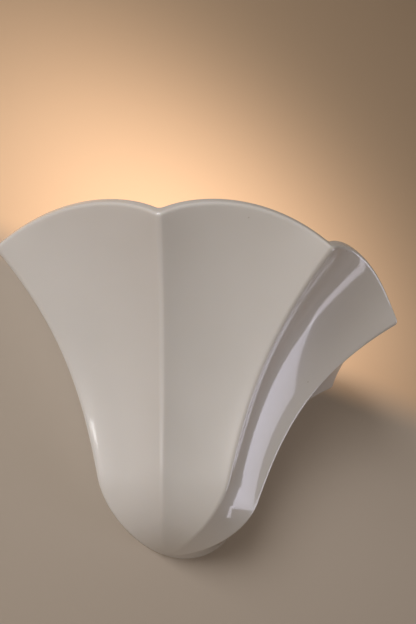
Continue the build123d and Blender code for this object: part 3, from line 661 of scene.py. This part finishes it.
EAR_X, EAR_Z = 49.0, 6.0
EAR_BACK, EAR_FRONT = -3.0, -12.0
EAR_HALF = 9.0
EAR_HOLE = 3.5


def ear(side):
    """Block inside the shade that one stud passes through."""
    block = bmesh.new()
    bmesh.ops.create_cube(block, size=1.0)
    inner_end = EAR_X - EAR_HALF
    for vert in block.verts:
        deep = vert.co.y < 0
        outer_end = 66.0 if deep else 75.0
        x = outer_end if vert.co.x > 0 else inner_end
        y = EAR_FRONT if deep else EAR_BACK
        vert.co = Vector((x, y, EAR_Z + 2 * EAR_HALF * vert.co.z)) * MM
    ends = [
        edge for edge in block.edges
        if all(abs(v.co.x - inner_end * MM) < 1e-6 for v in edge.verts)
        and abs(edge.verts[0].co.z - edge.verts[1].co.z) < 1e-6
    ]
    bmesh.ops.bevel(
        block, geom=ends, offset=0.97 * EAR_HALF * MM, segments=12, affect="EDGES",
        profile=0.5, material=-1,
    )
    if side < 0:
        bmesh.ops.scale(block, vec=(-1, 1, 1), verts=block.verts)
        bmesh.ops.reverse_faces(block, faces=block.faces)
    return block


def stud_hole(side):
    """Rod as wide as the ear's hole, to be cut out."""
    rod = bmesh.new()
    bmesh.ops.create_cone(
        rod, cap_ends=True, segments=40, radius1=EAR_HOLE * MM, radius2=EAR_HOLE * MM,
        depth=4 * EAR_HALF * MM,
    )
    bmesh.ops.rotate(rod, cent=(0, 0, 0), matrix=Matrix.Rotation(pi / 2, 3, "X"), verts=rod.verts)
    bmesh.ops.translate(
        rod, vec=Vector((side * EAR_X, EAR_FRONT, EAR_Z)) * MM, verts=rod.verts
    )
    return rod


def loose_object(name, mesh_of):
    mesh = bpy.data.meshes.new(name)
    mesh_of.to_mesh(mesh)
    mesh_of.free()
    made = bpy.data.objects.new(name, mesh)
    bpy.context.scene.collection.objects.link(made)
    return made


def make_shade(material):
    shade = loose_object("shade_shell", shade_shell())
    tools = []
    for side in (-1, 1):
        for operation, tool in (("UNION", ear(side)), ("DIFFERENCE", stud_hole(side))):
            made = loose_object("shade_tool", tool)
            step = shade.modifiers.new(operation, "BOOLEAN")
            step.operation = operation
            step.solver = "EXACT"
            step.object = made
            tools.append(made)
    graph = bpy.context.evaluated_depsgraph_get()
    finished = bpy.data.meshes.new_from_object(shade.evaluated_get(graph))
    shade.modifiers.clear()
    shade.data = finished
    for tool in tools:
        bpy.data.objects.remove(tool)
    shade.name = "glazed_shade"
    finished.materials.clear()
    finished.materials.append(material)
    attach(shade, "fixture")
    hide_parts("shade")


make_shade(glaze())


# ------------------------------------------------------------------ stage and light
def backdrop_plane(name, width, height, place, upright):
    made = bmesh.new()
    bmesh.ops.create_grid(made, x_segments=1, y_segments=1, size=0.5)
    bmesh.ops.scale(made, vec=(width, height, 1), verts=made.verts)
    if upright:
        bmesh.ops.rotate(
            made, cent=(0, 0, 0), matrix=Matrix.Rotation(pi / 2, 3, "X"), verts=made.verts
        )
    bmesh.ops.translate(made, vec=place, verts=made.verts)
    plane = loose_object(name, made)
    return plane


# The lamp's glow, painted on the wall, measured from a point just above the lamp
GLOW_X, GLOW_Z = 0.005, 0.110
GLOW_FLAT = 0.75                # the glow is wider than it is high
GLOW_REACH = 0.36
# Heights where the painted glow stops: a painted shadow edge where the rim holds back the lamp's
# light
CUT_OFF_LOW, CUT_OFF_HIGH = 0.060, 0.100


def wall_paint():
    """Pale wall with the lamp's warm glow painted above the rim, in its colour and as emission, and
    painted darker away from the glow; seen from the room only.
    """
    made = Finish("wall_paint", (196, 180, 163), 0.85)
    place = made.node("ShaderNodeSeparateXYZ", {"Vector": made.place})
    beside = made.node("ShaderNodeMath", {0: place.outputs["X"], 1: GLOW_X}, operation="SUBTRACT")
    above = made.node("ShaderNodeMath", {0: place.outputs["Z"], 1: GLOW_Z}, operation="SUBTRACT")
    flat = made.node("ShaderNodeMath", {0: beside.outputs[0], 1: GLOW_FLAT}, operation="MULTIPLY")
    spread = made.node("ShaderNodeCombineXYZ", {"X": flat.outputs[0], "Z": above.outputs[0]})
    away = made.node("ShaderNodeVectorMath", {0: spread.outputs[0]}, operation="LENGTH")
    fade = made.node(
        "ShaderNodeMapRange",
        {"Value": away.outputs["Value"], "From Min": GLOW_REACH, "From Max": 0.0},
        interpolation_type="SMOOTHSTEP",
    ).outputs["Result"]
    glow = made.node("ShaderNodeMath", {0: fade, 1: 2.6}, operation="POWER").outputs[0]
    painted_rim_cutoff = made.node(
        "ShaderNodeMapRange",
        {"Value": place.outputs["Z"], "From Min": CUT_OFF_LOW, "From Max": CUT_OFF_HIGH},
        interpolation_type="SMOOTHSTEP",
    ).outputs["Result"]
    lit = made.node("ShaderNodeMath", {0: glow, 1: painted_rim_cutoff}, operation="MULTIPLY").outputs[0]
    # Painted falloff: the wall is painted darker further from the glow, below the rim as well as
    # above it
    painted_falloff_share = made.ramp(away.outputs["Value"], 0.12, 0.5)
    wall_below_rim_painted_falloff = made.mix(painted_falloff_share, (196, 184, 171), (173, 159, 143))
    painted_glow_tone = made.mix(painted_falloff_share, (194, 167, 138), (152, 132, 110))
    made.tint(made.mix(painted_rim_cutoff, wall_below_rim_painted_falloff, painted_glow_tone))
    roller = made.noise(420.0, 3.0)
    made.bump(roller, 0.0002, 0.25)
    path = made.node("ShaderNodeLightPath")
    seen = made.node(
        "ShaderNodeMath",
        {0: path.outputs["Is Camera Ray"], 1: path.outputs["Is Glossy Ray"]}, operation="MAXIMUM",
    ).outputs[0]
    # Painted glow: the wall itself emits where the glow is painted, for camera and glossy rays
    # only, though it is no lamp
    strength = made.node("ShaderNodeMath", {0: lit, 1: seen}, operation="MULTIPLY").outputs[0]
    made.tint(strength, "Emission Strength")
    made.shader.inputs["Emission Color"].default_value = colour(255, 203, 157)
    hidden = made.node("ShaderNodeBsdfTransparent").outputs[0]
    facing = made.node("ShaderNodeNewGeometry").outputs["Backfacing"]
    let_through = made.node(
        "ShaderNodeMath", {0: facing, 1: path.outputs["Is Shadow Ray"]}, operation="MAXIMUM"
    )
    mixed = made.node(
        "ShaderNodeMixShader",
        {0: let_through.outputs[0], 1: made.shader.outputs[0], 2: hidden},
    )
    made.links.new(mixed.outputs[0], made.nodes["Material Output"].inputs["Surface"])
    return made.material


def floor_paint():
    made = Finish("floor_paint", (214, 208, 198), 0.7)
    made.tint(made.mix(made.noise(3.0), (212, 206, 196), (217, 211, 202)))
    return made.material


WALL_SIDE, WALL_RISE = 5.0, 4.0
WALL_BEHIND = 0.0006            # the backdrop stands just behind the wall edges
FLOOR_SIDE, FLOOR_Z = 8.0, -1.7

wall_plane = backdrop_plane("room_wall", WALL_SIDE, WALL_RISE, (0, WALL_BEHIND, 0.3), True)
wall_plane.data.materials.append(wall_paint())
floor_plane = backdrop_plane("room_floor", FLOOR_SIDE, FLOOR_SIDE, (0, 0, FLOOR_Z), False)
floor_plane.data.materials.append(floor_paint())


def soft_light(name, place, aim, width, height, watts, tint):
    lamp = bpy.data.lights.new(name, "AREA")
    lamp.shape = "RECTANGLE"
    lamp.size = width
    lamp.size_y = height
    lamp.energy = watts
    lamp.color = colour(*tint)[:3]
    holder = bpy.data.objects.new(name, lamp)
    away = Vector(place) - Vector(aim)
    turned = away.to_track_quat("Z", "Y").to_matrix().to_4x4()
    holder.matrix_world = Matrix.Translation(place) @ turned
    bpy.context.scene.collection.objects.link(holder)
    return holder


SCONCE_MIDDLE = (0, -0.07, 0)
ROOM_STRENGTH = 0.28

soft_light("key_from_left", (-1.65, -1.35, 0.15), SCONCE_MIDDLE, 1.0, 1.2, 28, (255, 252, 251))
soft_light("fill_behind", (0.6, 1.9, 0.7), (0, 0, 0), 1.4, 1.4, 14, (255, 250, 242))
soft_light("window_from_right", (1.7, -0.62, -0.08), SCONCE_MIDDLE, 0.8, 0.62, 3.8, (238, 236, 255))
soft_light("window_foot", (1.7, -0.2, -0.48), SCONCE_MIDDLE, 0.12, 0.34, 0.3, (246, 240, 255))

world = bpy.data.worlds.new("room")
bpy.context.scene.world = world
world.use_nodes = True
world.node_tree.nodes["Background"].inputs["Color"].default_value = colour(202, 186, 162)
world.node_tree.nodes["Background"].inputs["Strength"].default_value = ROOM_STRENGTH
